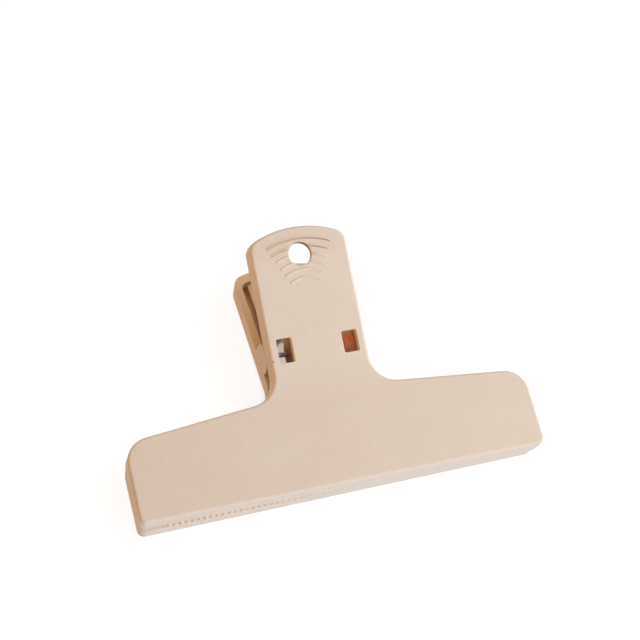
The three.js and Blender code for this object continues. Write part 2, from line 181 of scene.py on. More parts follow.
# %% [markdown]
# ## Outline of a half
# Both halves are T-shaped plates. The outline could be typed in as a list of points, but it
# is drawn here as on paper: one vertex is extruded along each straight side and spun round
# the centre of each corner, which gives true arcs. The loop is then filled with one face.

# %% Sizes of the moulding, in millimetres
JAW_WIDTH, JAW_HEIGHT, JAW_DEPTH = 120.0, 28.9, 7.5
JAW_SLOPE = math.radians(5.55)
JAW_LOWER_CORNER, JAW_UPPER_CORNER, NECK_FILLET = 2.0, 7.0, 8.0
HANDLE_WIDTH, HANDLE_REACH, HANDLE_DEPTH = 29.0, 75.65, 6.2
HANDLE_CORNER = 4.0
FRONT_CROWN = {"reach": HANDLE_REACH, "radius": 30.7, "thicker": 0}
REAR_CROWN = {"reach": HANDLE_REACH - 1.3, "radius": 42.0, "thicker": 0.8}
LEAN = math.radians(13)
PLATE, WALL, LIP_WALL, EDGE_ROUND = 2.1, 2.1, 3.2, 0.9
SEAT_GAP, PIN_GAP, LIP_GAP = 0.3, 0.2, 0.06
JAW_HALF, HANDLE_HALF = JAW_WIDTH / 2, HANDLE_WIDTH / 2
SPARE = 2.0
print(f"jaw {JAW_WIDTH} by {JAW_HEIGHT} mm, handle {HANDLE_WIDTH} mm wide")

# %% Draw and fill the outline
FEWEST_STEPS, STEPS_PER_MM = 6, 2
CROWN_END_STEPS, CROWN_STEPS = 8, 24


def draw_outline(inset, crown):
    bpy.ops.mesh.primitive_plane_add(size=1)
    obj = bpy.context.object
    bpy.ops.object.mode_set(mode="EDIT")
    bpy.ops.mesh.select_mode(type="VERT")
    bpy.ops.mesh.select_all(action="SELECT")
    bpy.ops.mesh.merge(type="CENTER")
    pencil = Vector((0, inset, 0))
    bpy.ops.transform.translate(value=pencil)

    def line(end):
        nonlocal pencil
        move = {"value": end - pencil}
        bpy.ops.mesh.extrude_region_move(TRANSFORM_OT_translate=move)
        pencil = end

    def arc(centre, angle, steps):
        nonlocal pencil
        bpy.ops.mesh.spin(steps=steps, angle=-angle, center=centre, axis=(0, 0, 1))
        pencil = centre + Matrix.Rotation(angle, 3, "Z") @ (pencil - centre)

    def corner(point, after, radius):
        into = (point - pencil).normalized()
        out = (after - point).normalized()
        turn = math.copysign(into.angle(out), into.cross(out).z)
        line(point - into * radius * math.tan(abs(turn) / 2))
        aside = Vector((-into.y, into.x, 0)) * math.copysign(radius, turn)
        arc(pencil + aside, turn, max(FEWEST_STEPS, round(STEPS_PER_MM * radius)))

    def top(x):
        drop = inset / math.cos(JAW_SLOPE)
        return Vector((x, JAW_HEIGHT - drop - abs(x) * math.tan(JAW_SLOPE), 0))

    side, neck = JAW_HALF - inset, HANDLE_HALF - inset
    lower, upper = max(JAW_LOWER_CORNER - inset, SEAT_GAP), JAW_UPPER_CORNER - inset
    corner_x = HANDLE_HALF - HANDLE_CORNER
    crown_y = crown["reach"] - crown["radius"]
    corner_y = crown_y + math.sqrt((crown["radius"] - HANDLE_CORNER) ** 2 - corner_x**2)
    crown_turn = math.atan2(corner_y - crown_y, corner_x)
    corner(Vector((side, inset, 0)), top(side), lower)
    corner(top(side), top(neck), upper)
    corner(top(neck), Vector((neck, corner_y, 0)), NECK_FILLET + inset)
    line(Vector((neck, corner_y, 0)))
    arc(Vector((corner_x, corner_y, 0)), crown_turn, CROWN_END_STEPS)
    arc(Vector((0, crown_y, 0)), math.pi - 2 * crown_turn, CROWN_STEPS)
    arc(Vector((-corner_x, corner_y, 0)), crown_turn, CROWN_END_STEPS)
    corner(top(-neck), top(-side), NECK_FILLET + inset)
    corner(top(-side), Vector((-side, inset, 0)), upper)
    corner(Vector((-side, inset, 0)), Vector((0, inset, 0)), lower)
    bpy.ops.mesh.select_all(action="SELECT")
    bpy.ops.mesh.edge_face_add()
    return done()


def prism(inset, crown, low, high):
    """The outline, moved inwards, as a solid between two heights."""
    obj = draw_outline(inset, crown)
    pick(obj, "FACE", everything)
    bpy.ops.transform.translate(value=(0, 0, low))
    up = {"value": (0, 0, high - low)}
    bpy.ops.mesh.extrude_region_move(TRANSFORM_OT_translate=up)
    bpy.ops.mesh.select_all(action="SELECT")
    bpy.ops.mesh.normals_make_consistent(inside=False)
    return done()


# %% [markdown]
# ## The shell
# A moulded half is a thin tray. The block is rounded along its face, and a smaller block,
# with the ribs already cut out of it, is taken away from behind. Taking the hollow away in
# one cut leaves walls and ribs with sharp, real corners, as a moulding tool does.

# %% Sizes of ribs and hollow
BLOCK_FOOT, CUT_FOOT, KEPT_FOOT = -2 * SPARE, -3 * SPARE, -4 * SPARE
JAW_RIBS, RIB_SETBACK = (20.0, 40.0), 1.5
JAW_RIB_THICKNESS = 1.6
HANDLE_RIB_OFFSET, HANDLE_RIB_THICKNESS, HANDLE_RIB_HEIGHT = 9.4, 1.2, 2.0
THICK_WALL_EXTRA, THICK_WALL_REACH = 0.2, 60.9
PIN_REACH, PIN_RADIUS = 42.5, 0.75
CHEEK_RADIUS, RIB_START = 4.2, 3.3
FLOOR_FILLET, FILLET_STEPS = 0.5, 3
print("ribs in the jaw:", 2 * len(JAW_RIBS), "ribs in a handle:", 2)


# %% Cut the hollow
def hollow(crown):
    roof = JAW_DEPTH - PLATE
    inner_crown = {**crown, "reach": crown["reach"] - crown["thicker"]}
    space = prism(WALL, inner_crown, CUT_FOOT, roof)
    round_edges(space, FLOOR_FILLET, FILLET_STEPS, lambda p: p.z > roof - TOUCH)
    pick(space, "FACE", everything)
    bpy.ops.mesh.bisect(
        plane_co=(0, LIP_WALL, 0), plane_no=(0, 1, 0), use_fill=True, clear_inner=True,
    )
    done()
    kept = []
    over = roof + SPARE
    for x in JAW_RIBS:
        half = JAW_RIB_THICKNESS / 2
        for x0, x1 in mirrored(x - half, x + half):
            kept.append(bar((x0, 0, RIB_SETBACK), (x1, JAW_HEIGHT, over)))
    inner = HANDLE_HALF - WALL
    for x0, x1 in mirrored(inner - THICK_WALL_EXTRA, inner + THICK_WALL_EXTRA):
        kept.append(bar((x0, PIN_REACH, KEPT_FOOT), (x1, THICK_WALL_REACH, over)))
    half = HANDLE_RIB_THICKNESS / 2
    for x0, x1 in mirrored(HANDLE_RIB_OFFSET - half, HANDLE_RIB_OFFSET + half):
        start = PIN_REACH + CHEEK_RADIUS + RIB_START
        end = HANDLE_REACH - HANDLE_CORNER
        kept.append(bar((x0, start, roof - HANDLE_RIB_HEIGHT), (x1, end, over)))
    for piece in kept:
        combine(space, piece)
    return space


# %% [markdown]
# ## Teeth
# The lips grip with a fine zigzag, and each half has the mirror of the other. One long grid
# is made with a column for each flank, every second column is lifted, and the sheet is
# extruded downwards: a cutter that leaves the teeth standing on the lip.

# %% Sizes of the teeth
TOOTH_PITCH, TOOTH_HEIGHT, TOOTH_PEAKS = 1.75, 0.9, 121
END_RUN, NECK_SPARE = 10, 1
print("teeth along a lip:", TOOTH_PEAKS // 2, "every", TOOTH_PITCH, "mm")


# %% Cut the parting line and the teeth
def parting_cuts(tooth_sign, shift):
    top = LIP_GAP / 2
    low = CUT_FOOT
    span = (TOOTH_PEAKS - 1) * TOOTH_PITCH / 2
    bpy.ops.mesh.primitive_grid_add(
        x_subdivisions=TOOTH_PEAKS - 1, y_subdivisions=1, size=1,
        location=(shift, (LIP_WALL - SPARE) / 2, top),
    )
    lips = bpy.context.object
    lips.scale = (span, LIP_WALL + SPARE, 1)
    bpy.ops.object.transform_apply(location=True, scale=True)

    def raised(point):
        column = round((point.x - shift + span / 2) / (TOOTH_PITCH / 2))
        return (column % 2 == 0) == (tooth_sign > 0)

    pick(lips, "VERT", raised)
    bpy.ops.transform.translate(value=(0, 0, TOOTH_HEIGHT / 2))
    bpy.ops.mesh.select_all(action="INVERT")
    bpy.ops.transform.translate(value=(0, 0, -TOOTH_HEIGHT / 2))
    done()
    for side in (1, -1):
        end = shift + side * span / 2
        for step in (TOOTH_PITCH / 4, SPARE + END_RUN):
            pick(lips, "EDGE", lambda p, e=end: abs(p.x - e) < TOUCH)
            outwards = {"value": (side * step, 0, 0)}
            bpy.ops.mesh.extrude_region_move(TRANSFORM_OT_translate=outwards)
            bpy.ops.transform.resize(value=(1, 1, 0), center_override=(0, 0, top))
            end += side * step
            done()
    pick(lips, "FACE", everything)
    bpy.ops.mesh.extrude_region_move(TRANSFORM_OT_translate={"value": (0, 0, low)})
    bpy.ops.transform.resize(value=(1, 1, 0), center_override=(0, 0, low))
    bpy.ops.mesh.select_all(action="SELECT")
    bpy.ops.mesh.normals_make_consistent(inside=False)
    done()
    jaw = bar((-JAW_HALF - SPARE, LIP_WALL, low), (JAW_HALF + SPARE, JAW_HEIGHT + SPARE, top))
    neck_line = JAW_HEIGHT - HANDLE_HALF * math.tan(JAW_SLOPE) + NECK_SPARE
    handle = bar(
        (-HANDLE_HALF - SPARE, neck_line, low),
        (HANDLE_HALF + SPARE, HANDLE_REACH + SPARE, JAW_DEPTH - HANDLE_DEPTH),
    )
    return lips, jaw, handle


# %% [markdown]
# ## Hole, ridges and windows
# Six curved ridges give the thumb a grip, and they stop just short of the hanging hole. A
# ridge is a small circle spun round a far centre, with its ends rounded off. The windows are
# where the moulding tool reached through to form the hinge.

# %% Sizes of the face's details
HOLE_RADIUS, HOLE_FROM_TOP = 3.4, 8.2
HOLE_REACH = HANDLE_REACH - HOLE_FROM_TOP
RIDGE_COUNT, RIDGE_HALF_WIDTH, RIDGE_HEIGHT, RIDGE_SINK = 6, 0.42, 0.32, 0.05
RIDGE_SIDES, RIDGE_STEPS, RIDGE_END_ROUND, RIDGE_TO_HOLE = 16, 24, 0.7, 0.55
RIDGE_FROM_TOP, RIDGE_PITCH = 3.5, 2.32
RIDGE_HALF_CHORD, CHORD_STEP = 9.6, 1.02
RIDGE_RISE, RISE_STEP = 2.05, 0.13
FRONT_WINDOW, FRONT_WINDOW_FOOT = (7.5, 12.0), 37.1
LEFT_WINDOW_HEIGHT, RIGHT_WINDOW_HEIGHT = 7.1, 6.3
REAR_WINDOW, REAR_WINDOW_FOOT, REAR_WINDOW_HEIGHT = (3.9, 8.6), 41.2, 9.0
SMALL_ROUND, WINDOW_CORNER = 0.2, 0.4
ROUND_SIDES = 96
print(f"hole {2 * HOLE_RADIUS} mm, ridges every {RIDGE_PITCH} mm")


# %% Ridges
def ridge(index):
    half_chord = RIDGE_HALF_CHORD - CHORD_STEP * index
    rise = RIDGE_RISE - RISE_STEP * index
    radius = (half_chord**2 + rise**2) / (2 * rise)
    centre_y = HANDLE_REACH - RIDGE_FROM_TOP - RIDGE_PITCH * index - radius
    sweep = math.asin(half_chord / radius)
    bpy.ops.mesh.primitive_circle_add(
        vertices=RIDGE_SIDES, radius=1, fill_type="NGON", rotation=(math.pi / 2, 0, 0),
    )
    bpy.ops.object.transform_apply(rotation=True)
    obj = bpy.context.object
    pick(obj, "FACE", everything)
    bpy.ops.transform.resize(value=(RIDGE_HALF_WIDTH, 1, RIDGE_HEIGHT))
    bpy.ops.transform.translate(value=(radius, 0, JAW_DEPTH - RIDGE_SINK))
    around = {"center": (0, 0, 0), "axis": (0, 0, 1)}
    bpy.ops.mesh.spin(steps=RIDGE_STEPS, angle=-2 * sweep, **around)
    done()
    ends = [Matrix.Rotation(a, 3, "Z") @ Vector((1, 0, 0)) for a in (0, 2 * sweep)]

    def at_end(point):
        flat = Vector((point.x, point.y, 0)).normalized()
        return any(flat.angle(end) < 0.2 * sweep / RIDGE_STEPS for end in ends)

    round_edges(obj, RIDGE_END_ROUND * RIDGE_HALF_WIDTH, FILLET_STEPS, at_end)
    pick(obj, "FACE", everything)
    bpy.ops.mesh.normals_make_consistent(inside=False)
    done()
    place = Matrix.Translation((0, centre_y, 0)) @ Matrix.Rotation(math.pi / 2 - sweep, 4, "Z")
    obj.matrix_world = place
    only(obj)
    bpy.ops.object.transform_apply(location=True, rotation=True)
    return obj


# %% Ridges on the face, and the hanging hole
def add_face_details(body, with_ridges):
    foot, head = (0, HOLE_REACH, 0), (0, HOLE_REACH, JAW_DEPTH + SPARE)
    if with_ridges:
        for index in range(RIDGE_COUNT):
            clear = rod(HOLE_RADIUS + RIDGE_TO_HOLE, foot, head, ROUND_SIDES)
            combine(body, combine(ridge(index), clear), "UNION")
    combine(body, rod(HOLE_RADIUS, foot, head, ROUND_SIDES))

    def hole_rim(point):
        far = Vector((point.x, point.y - HOLE_REACH)).length
        return abs(far - HOLE_RADIUS) < TOUCH and point.z > JAW_DEPTH - TOUCH

    round_edges(body, SMALL_ROUND, FILLET_STEPS, hole_rim)
    return body


# %% Windows
def open_window(body, side, span, foot, height):
    x0, x1 = mirrored(*span)[0 if side > 0 else 1]
    y0, y1 = foot, foot + height
    cut = bar((x0, y0, JAW_DEPTH - HANDLE_DEPTH), (x1, y1, JAW_DEPTH + SPARE))
    for x in (x0, x1):
        for y in (y0, y1):
            round_edges(
                cut, WINDOW_CORNER, FILLET_STEPS,
                lambda p: abs(p.x - x) + abs(p.y - y) < TOUCH,
            )
    combine(body, cut)

    def rim(point):
        in_width = x0 - TOUCH < point.x < x1 + TOUCH
        in_height = y0 - TOUCH < point.y < y1 + TOUCH
        return in_width and in_height and point.z > JAW_DEPTH - TOUCH

    round_edges(body, SMALL_ROUND, 2, rim)
    return body


# %% [markdown]
# ## Lean of the handle
# The handle leans outwards from the jaw. The half is modelled flat, because flat cuts are
# simple, and then bent: rows are cut across the neck, and from the far row inwards all that
# lies beyond each row is turned by a small share of the lean.

# %% Lean the handle
BEND_START, BEND_LENGTH, BEND_ROWS = 23.9, 12.0, 12
JUST_PAST = 0.001
print(f"bend of {math.degrees(LEAN):.0f} degrees over {BEND_LENGTH} mm, in {BEND_ROWS} rows")


def lean_handle(body):
    rows = [BEND_START + BEND_LENGTH * k / BEND_ROWS for k in range(BEND_ROWS + 1)]
    for row in rows:
        pick(body, "FACE", everything)
        bpy.ops.mesh.bisect(plane_co=(0, row, 0), plane_no=(0, 1, 0))
    for row in reversed(rows):
        share = 0.5 if row in (rows[0], rows[-1]) else 1
        pick(body, "VERT", lambda p: p.y > row + JUST_PAST)
        bpy.ops.transform.rotate(
            value=-share * LEAN / BEND_ROWS, orient_axis="X",
            center_override=(0, row, JAW_DEPTH),
        )
    return done()


def layer_height(y, depth):
    """Height of the layer that lies depth below the leaning face."""
    bend_radius = BEND_LENGTH / LEAN
    end_y = BEND_START + bend_radius * math.sin(LEAN)
    end_z = JAW_DEPTH + bend_radius * (1 - math.cos(LEAN))
    return end_z + (y - end_y) * math.tan(LEAN) - depth / math.cos(LEAN)


# %% Tongue round the pin
def tongue(radius, x0, x1):
    """A tongue round the pin that grows out of the handle's plate."""
    obj = rod(radius, (x0, PIN_REACH, 0), (x1, PIN_REACH, 0))
    pick(obj, "FACE", everything)
    bpy.ops.mesh.bisect(
        plane_co=(0, 0, 0), plane_no=(0, 0, 1), use_fill=True, clear_outer=True,
    )
    done()
    pick(obj, "FACE", lambda p: p.z > -JUST_PAST)
    up = {"value": (0, 0, 3 * radius)}
    bpy.ops.mesh.extrude_region_move(TRANSFORM_OT_translate=up)
    bpy.ops.mesh.select_all(action="SELECT")
    bpy.ops.mesh.bisect(
        plane_co=(0, PIN_REACH, layer_height(PIN_REACH, PLATE / 2)),
        plane_no=(0, -math.sin(LEAN), math.cos(LEAN)), use_fill=True, clear_outer=True,
    )
    bpy.ops.mesh.select_all(action="SELECT")
    bpy.ops.mesh.normals_make_consistent(inside=False)
    return done()


# %% [markdown]
# ## The two halves
# Both start from the same blank, and only the front one has ridges. The front half then
# gets two windows, two lugs that turn on the pin, and a thin web under the left window's
# upper corner, set there for its shade: the plainest thing that could keep that corner dark.
# The rear half gets cheeks that hold the pin's ends, and a pocket for the magnet.

# %% Blank
EDGE_STEPS = 5


def blank(tooth_sign, shift, crown, with_ridges):
    body = prism(0, crown, BLOCK_FOOT, JAW_DEPTH)
    round_edges(body, EDGE_ROUND, EDGE_STEPS, lambda p: p.z > JAW_DEPTH - TOUCH)
    for cut in parting_cuts(tooth_sign, shift):
        combine(body, cut)
    combine(body, hollow(crown))
    add_face_details(body, with_ridges)
    print("blank:", len(body.data.polygons), "faces")
    return body


# %% Front half, with its windows and the web that keeps a corner in shade
WEB_WALL, WEB_TIP, WEB_TAPER = -13.5, -7.2, 4.2
WEB_START, WEB_END = 41.6, 46.7
WEB_DEPTHS = (3.9, 2.7)
front = blank(1, 0, FRONT_CROWN, True)
open_window(front, -1, FRONT_WINDOW, FRONT_WINDOW_FOOT, LEFT_WINDOW_HEIGHT)
open_window(front, 1, FRONT_WINDOW, FRONT_WINDOW_FOOT, RIGHT_WINDOW_HEIGHT)
# The web is set here only to keep the left window's upper corner in shade.
low, high = [JAW_DEPTH - PLATE - depth for depth in WEB_DEPTHS]
shade_web = bar((WEB_WALL, WEB_START, low), (WEB_TIP, WEB_END, high))
pick(shade_web, "VERT", lambda p: p.x > WEB_TIP - TOUCH and p.y < WEB_START + TOUCH)
bpy.ops.transform.translate(value=(-WEB_TAPER, 0, 0))
done()
combine(front, shade_web, "UNION")
lean_handle(front)

# %% Lugs, and room for the rear half's cheeks
LUG, LUG_RADIUS = (5.1, 6.8), 3.8
LEFT_CHEEK, RIGHT_CHEEK = 11.4, 9.8
for x0, x1 in mirrored(*LUG):
    combine(front, tongue(LUG_RADIUS, x0, x1), "UNION")
far = HANDLE_HALF + SPARE
for x0, x1 in ((RIGHT_CHEEK - SEAT_GAP, far), (-far, SEAT_GAP - LEFT_CHEEK)):
    room = rod(CHEEK_RADIUS + SEAT_GAP, (x0, PIN_REACH, 0), (x1, PIN_REACH, 0), ROUND_SIDES)
    combine(front, room)
bore_end = LUG[1] + SPARE
combine(front, rod(PIN_RADIUS + PIN_GAP, (-bore_end, PIN_REACH, 0), (bore_end, PIN_REACH, 0)))
front.name = "front_moulding"
print("front:", len(front.data.polygons), "faces")

# %% Places of the magnet and the teeth
MAGNET_RADIUS, MAGNET_THICKNESS, MAGNET_PROUD, MAGNET_CHAMFER = 6.0, 3.0, 0.5, 0.35
POCKET_FLOOR, POCKET_WALL, POCKET_TO_HOLE = 1.0, 1.1, 0.85
HINGE_PLAY = math.radians(0.64)
pocket_radius = MAGNET_RADIUS + SEAT_GAP
pocket_depth = MAGNET_THICKNESS - MAGNET_PROUD + SEAT_GAP
magnet_reach = HOLE_REACH - HOLE_RADIUS - POCKET_TO_HOLE - pocket_radius
tooth_shift = -PIN_REACH * HINGE_PLAY
print(f"magnet {magnet_reach:.2f} mm from the lips, rear teeth {tooth_shift:.2f} mm aside")

# %% Rear half, with the magnet's pocket
rear = blank(-1, tooth_shift, REAR_CROWN, False)
pocket_foot = JAW_DEPTH - pocket_depth
boss = rod(
    pocket_radius + POCKET_WALL, (0, magnet_reach, pocket_foot - POCKET_FLOOR),
    (0, magnet_reach, JAW_DEPTH - PLATE / 2), ROUND_SIDES,
)
combine(rear, boss, "UNION")
for side in (1, -1):
    open_window(rear, side, REAR_WINDOW, REAR_WINDOW_FOOT, REAR_WINDOW_HEIGHT)
pocket = rod(
    pocket_radius, (0, magnet_reach, pocket_foot), (0, magnet_reach, JAW_DEPTH + SPARE),
    ROUND_SIDES,
)
combine(rear, pocket)
lean_handle(rear)

# %% Cheeks that hold the pin
PIN_SKIN = 0.9
for x0, x1 in ((LEFT_CHEEK, HANDLE_HALF), (-HANDLE_HALF, -RIGHT_CHEEK)):
    combine(rear, tongue(CHEEK_RADIUS, x0, x1), "UNION")
seat_end = HANDLE_HALF - PIN_SKIN
combine(rear, rod(PIN_RADIUS + PIN_GAP, (-seat_end, PIN_REACH, 0), (seat_end, PIN_REACH, 0)))
rear.name = "rear_moulding"
print("rear:", len(rear.data.polygons), "faces")

# %% [markdown]
# ## Laying the pieces in place
# The clip lies on the rear lip's edge and on the end of the rear handle, so all of it is
# tipped by a small angle. The rear half is the same moulding turned over, and it sits a
# little askew on its loose hinge, as the teeth showing on one side only tell.

# %% Where each half lies
TIP = math.radians(7.89594)
PLACE = (0, -37.9559, 7.3102)
MILLIMETRE = 0.001
MERGE, SMOOTH_BELOW = 0.0001, math.radians(32)
laid = Matrix.Scale(MILLIMETRE, 4) @ Matrix.Translation(PLACE) @ Matrix.Rotation(TIP, 4, "X")
turned_over = Matrix.Rotation(math.pi, 4, "Y")
play = (
    Matrix.Translation((0, PIN_REACH, 0))
    @ Matrix.Rotation(HINGE_PLAY, 4, "Z")
    @ Matrix.Translation((0, -PIN_REACH, 0))
)
print(f"tipped by {math.degrees(TIP):.1f} degrees, askew by {math.degrees(HINGE_PLAY):.2f}")


# %% Merge, smooth and lay down
def lay(obj, matrix):
    obj.matrix_world = matrix
    only(obj)
    bpy.ops.object.transform_apply(location=True, rotation=True, scale=True)
    return obj


def finish_mesh(obj):
    """Merges doubles, turns the faces outwards and smooths all but the real edges."""
    pick(obj, "FACE", everything)
    bpy.ops.mesh.remove_doubles(threshold=MERGE)
    bpy.ops.mesh.normals_make_consistent(inside=False)
    done()
    bpy.ops.object.shade_smooth_by_angle(angle=SMOOTH_BELOW)
    modifier = obj.modifiers.new("even_shading", "WEIGHTED_NORMAL")
    modifier.keep_sharp = True
    bpy.ops.object.modifier_apply(modifier=modifier.name)
    return obj


# %% Both halves on their bodies
finish_mesh(front)
finish_mesh(rear)
lay(front, laid)
lay(rear, laid @ play @ turned_over)
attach(front, "front")
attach(rear, "rear")
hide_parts("front_half")
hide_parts("rear_half")
for half in (front, rear):
    print(half.name, [round(side / MILLIMETRE, 1) for side in half.dimensions], "mm")

# %% [markdown]
# ## Pin and magnet
# The pin is a cut length of drawn wire with broken edges, and the magnet is a solid disc,
# pressed and ground. A circle could be spun or extruded, but a round bar is quicker, and a
# bevel on its end edges is what tells a turned or ground piece from a plain cylinder.

# %% Pin
PIN_CHAMFER = 0.2
pin_half = HANDLE_HALF - PIN_SKIN - SEAT_GAP
pin = rod(PIN_RADIUS, (-pin_half, PIN_REACH, 0), (pin_half, PIN_REACH, 0))
round_edges(pin, PIN_CHAMFER, FILLET_STEPS, lambda p: abs(p.x) > pin_half - TOUCH)
pin.name = "pin"
finish_mesh(pin)
lay(pin, laid)
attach(pin, "rear")
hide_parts("hinge_pin")
print(f"pin: {2 * pin_half:.1f} mm long, {2 * PIN_RADIUS} mm thick")


# %% Where a point goes when the handle leans
def on_lean(y, z):
    """Where a point of the flat half goes once the handle leans, past the bend."""
    bend_radius = BEND_LENGTH / LEAN
    arm = bend_radius - (z - JAW_DEPTH)
    beyond = y - BEND_START - BEND_LENGTH
    return Vector((
        0,
        BEND_START + arm * math.sin(LEAN) + beyond * math.cos(LEAN),
        JAW_DEPTH + bend_radius - arm * math.cos(LEAN) + beyond * math.sin(LEAN),
    ))


# %% Magnet
half_thick = MAGNET_THICKNESS / 2
magnet = rod(MAGNET_RADIUS, (0, 0, -half_thick), (0, 0, half_thick), ROUND_SIDES)
round_edges(magnet, MAGNET_CHAMFER, FILLET_STEPS, lambda p: abs(p.z) > half_thick - TOUCH)
magnet.name = "magnet_disc"
finish_mesh(magnet)
magnet_middle = on_lean(magnet_reach, JAW_DEPTH + MAGNET_PROUD - half_thick)
seat = Matrix.Translation(magnet_middle) @ Matrix.Rotation(LEAN, 4, "X")
lay(magnet, laid @ play @ turned_over @ seat)
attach(magnet, "rear")
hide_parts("magnet")
print(f"magnet: {2 * MAGNET_RADIUS} mm across, {MAGNET_PROUD} mm proud of its pocket")

# %% [markdown]
# ## Spring
# One length of hard wire is wound round the pin, with a leg under each handle. A screw could
# make the coil, but a drawn line with a round section also gives the legs and their feet in
# one piece, as the wire is. The line is then turned into a mesh and laid in place.

# %% Legs of the spring
WIRE_RADIUS, COIL_RADIUS, COIL_TURNS = 0.55, 2.3, 5
LEG_REACH, FOOT_LENGTH = 17.0, 3.0
coil_half = LUG[0] - SEAT_GAP - WIRE_RADIUS


def leg(depth, x, side):
    """Foot, bearing point and the angle at which the leg leaves the coil."""
    rest = on_lean(PIN_REACH + LEG_REACH, JAW_DEPTH - depth - SEAT_GAP - WIRE_RADIUS)
    away = Vector((rest.y - PIN_REACH, rest.z))
    angle = math.atan2(away.y, away.x) - math.asin(COIL_RADIUS / away.length)
    foot = rest + FOOT_LENGTH * Vector((0, math.cos(LEAN), math.sin(LEAN)))
    points = [Vector((x, p.y, side * p.z)) for p in (foot, rest)]
    return points, angle


front_leg, front_angle = leg(PLATE, coil_half, 1)
rear_leg, rear_angle = leg(pocket_depth + POCKET_FLOOR, -coil_half, -1)
print("legs leave the coil at", [round(math.degrees(a)) for a in (front_angle, rear_angle)])

# %% Coil
POINTS_PER_TURN = 28
sweep = 2 * math.pi * COIL_TURNS - math.pi - front_angle - rear_angle
count = round(sweep / (2 * math.pi) * POINTS_PER_TURN)
coil = []
for k in range(count + 1):
    angle = front_angle + math.pi / 2 + sweep * k / count
    coil.append(Vector((
        coil_half * (1 - 2 * k / count),
        PIN_REACH + COIL_RADIUS * math.cos(angle),
        COIL_RADIUS * math.sin(angle),
    )))
print("coil:", len(coil), "points")


# %% The whole line of the wire
BEND_REACH = 1.0


def rounded_bend(before, corner, after, reach, steps=5):
    """Points that round the bend between two straight runs of the wire."""
    start = corner + (before - corner).normalized() * reach
    end = corner + (after - corner).normalized() * reach
    shares = [k / steps for k in range(steps + 1)]
    return [
        start * (1 - t) ** 2 + corner * 2 * t * (1 - t) + end * t * t for t in shares
    ]


line_points = [front_leg[0], *rounded_bend(*front_leg, coil[0], BEND_REACH), *coil]
line_points += [*reversed(rounded_bend(*rear_leg, coil[-1], BEND_REACH)), rear_leg[0]]
print("wire:", len(line_points), "points")

# %% Turn the line into a mesh and lay it down
wire = bpy.data.curves.new("spring_line", "CURVE")
wire.dimensions = "3D"
wire.bevel_depth = WIRE_RADIUS
wire.bevel_resolution = 6
wire.use_fill_caps = True
run = wire.splines.new("POLY")
run.points.add(len(line_points) - 1)
for spot, place in zip(run.points, line_points):
    spot.co = (*place, 1)
spring = bpy.data.objects.new("spring", wire)
bpy.context.scene.collection.objects.link(spring)
only(spring)
bpy.ops.object.convert(target="MESH")
spring = bpy.context.object
finish_mesh(spring)
lay(spring, laid)
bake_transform(spring)
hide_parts("torsion_spring")
print("spring:", len(spring.data.polygons), "faces")

# %% [markdown]
# ## Materials
# Every finish is a small tree of nodes: noise on Object coordinates, scaled in millimetres,
# so that it stays the same size on every piece. A picture could be wrapped on instead, but
# it would need a file and would repeat. One function adds a node and links it, and the
# names beside it only keep its settings short.

# %% Helpers for materials
SOFT = {"interpolation_type": "SMOOTHSTEP"}
MIX = {"data_type": "RGBA", "blend_type": "MIX"}
TINT = {"data_type": "RGBA", "blend_type": "MULTIPLY"}
UNLIT, UNTINTED = "#000000", (1, 1, 1, 1)


def linear(code):
    """A hex colour, as a screen shows it, to the linear values that light adds up in."""
    parts = [int(code[i:i + 2], 16) / 255 for i in (1, 3, 5)]
    return [p / 12.92 if p <= 0.04045 else ((p + 0.055) / 1.055) ** 2.4 for p in parts] + [1]


def dress(tree, node, inputs):
    """Gives inputs their value or link; a node is linked from its first output in use."""
    for name, value in inputs.items():
        socket = next(s for s in node.inputs if s.identifier == name)
        if isinstance(value, bpy.types.Node):
            value = next(output for output in value.outputs if output.enabled)
        if isinstance(value, bpy.types.NodeSocket):
            tree.links.new(value, socket)
        else:
            socket.default_value = value


def add(tree, kind, settings=None, **inputs):
    """Adds a node, with its settings and its inputs by name, and returns it."""
    node = tree.nodes.new(kind)
    for name, value in (settings or {}).items():
        setattr(node, name, value)
    dress(tree, node, inputs)
    return node


def limits(low, high, first=0, last=1):
    """Inputs of a soft step: low becomes first, and high becomes last."""
    return {"From Min": low, "From Max": high, "To Min": first, "To Max": last}


def new_material(name):
    material = bpy.data.materials.new(name)
    material.use_nodes = True
    tree = material.node_tree
    return material, tree, tree.nodes["Principled BSDF"]


def in_millimetres(tree, size=(1, 1, 1), turn=0):
    """Object coordinates, turned about Z and then scaled so that a size counts as one."""
    place = add(tree, "ShaderNodeTexCoord").outputs["Object"]
    turned = add(tree, "ShaderNodeMapping", Vector=place, Rotation=(0, 0, math.radians(turn)))
    scale = [1 / (s * MILLIMETRE) for s in size]
    return add(tree, "ShaderNodeMapping", Vector=turned, Scale=scale)


def paint(obj, material):
    obj.data.materials.clear()
    obj.data.materials.append(material)
    print(f"{obj.name}: {material.name}, {len(material.node_tree.nodes)} nodes")


# %% [markdown]
# ## Floor
# The clip lies on a pale card. Lamps alone would have to burn out the plastic to make the
# card as white as it is, so the card glows by itself, and less where the clip hides it from
# the air, which draws its soft shade. Diffuse and shadow rays pass through it, so that the
# light from below can be set in the room, by direction.

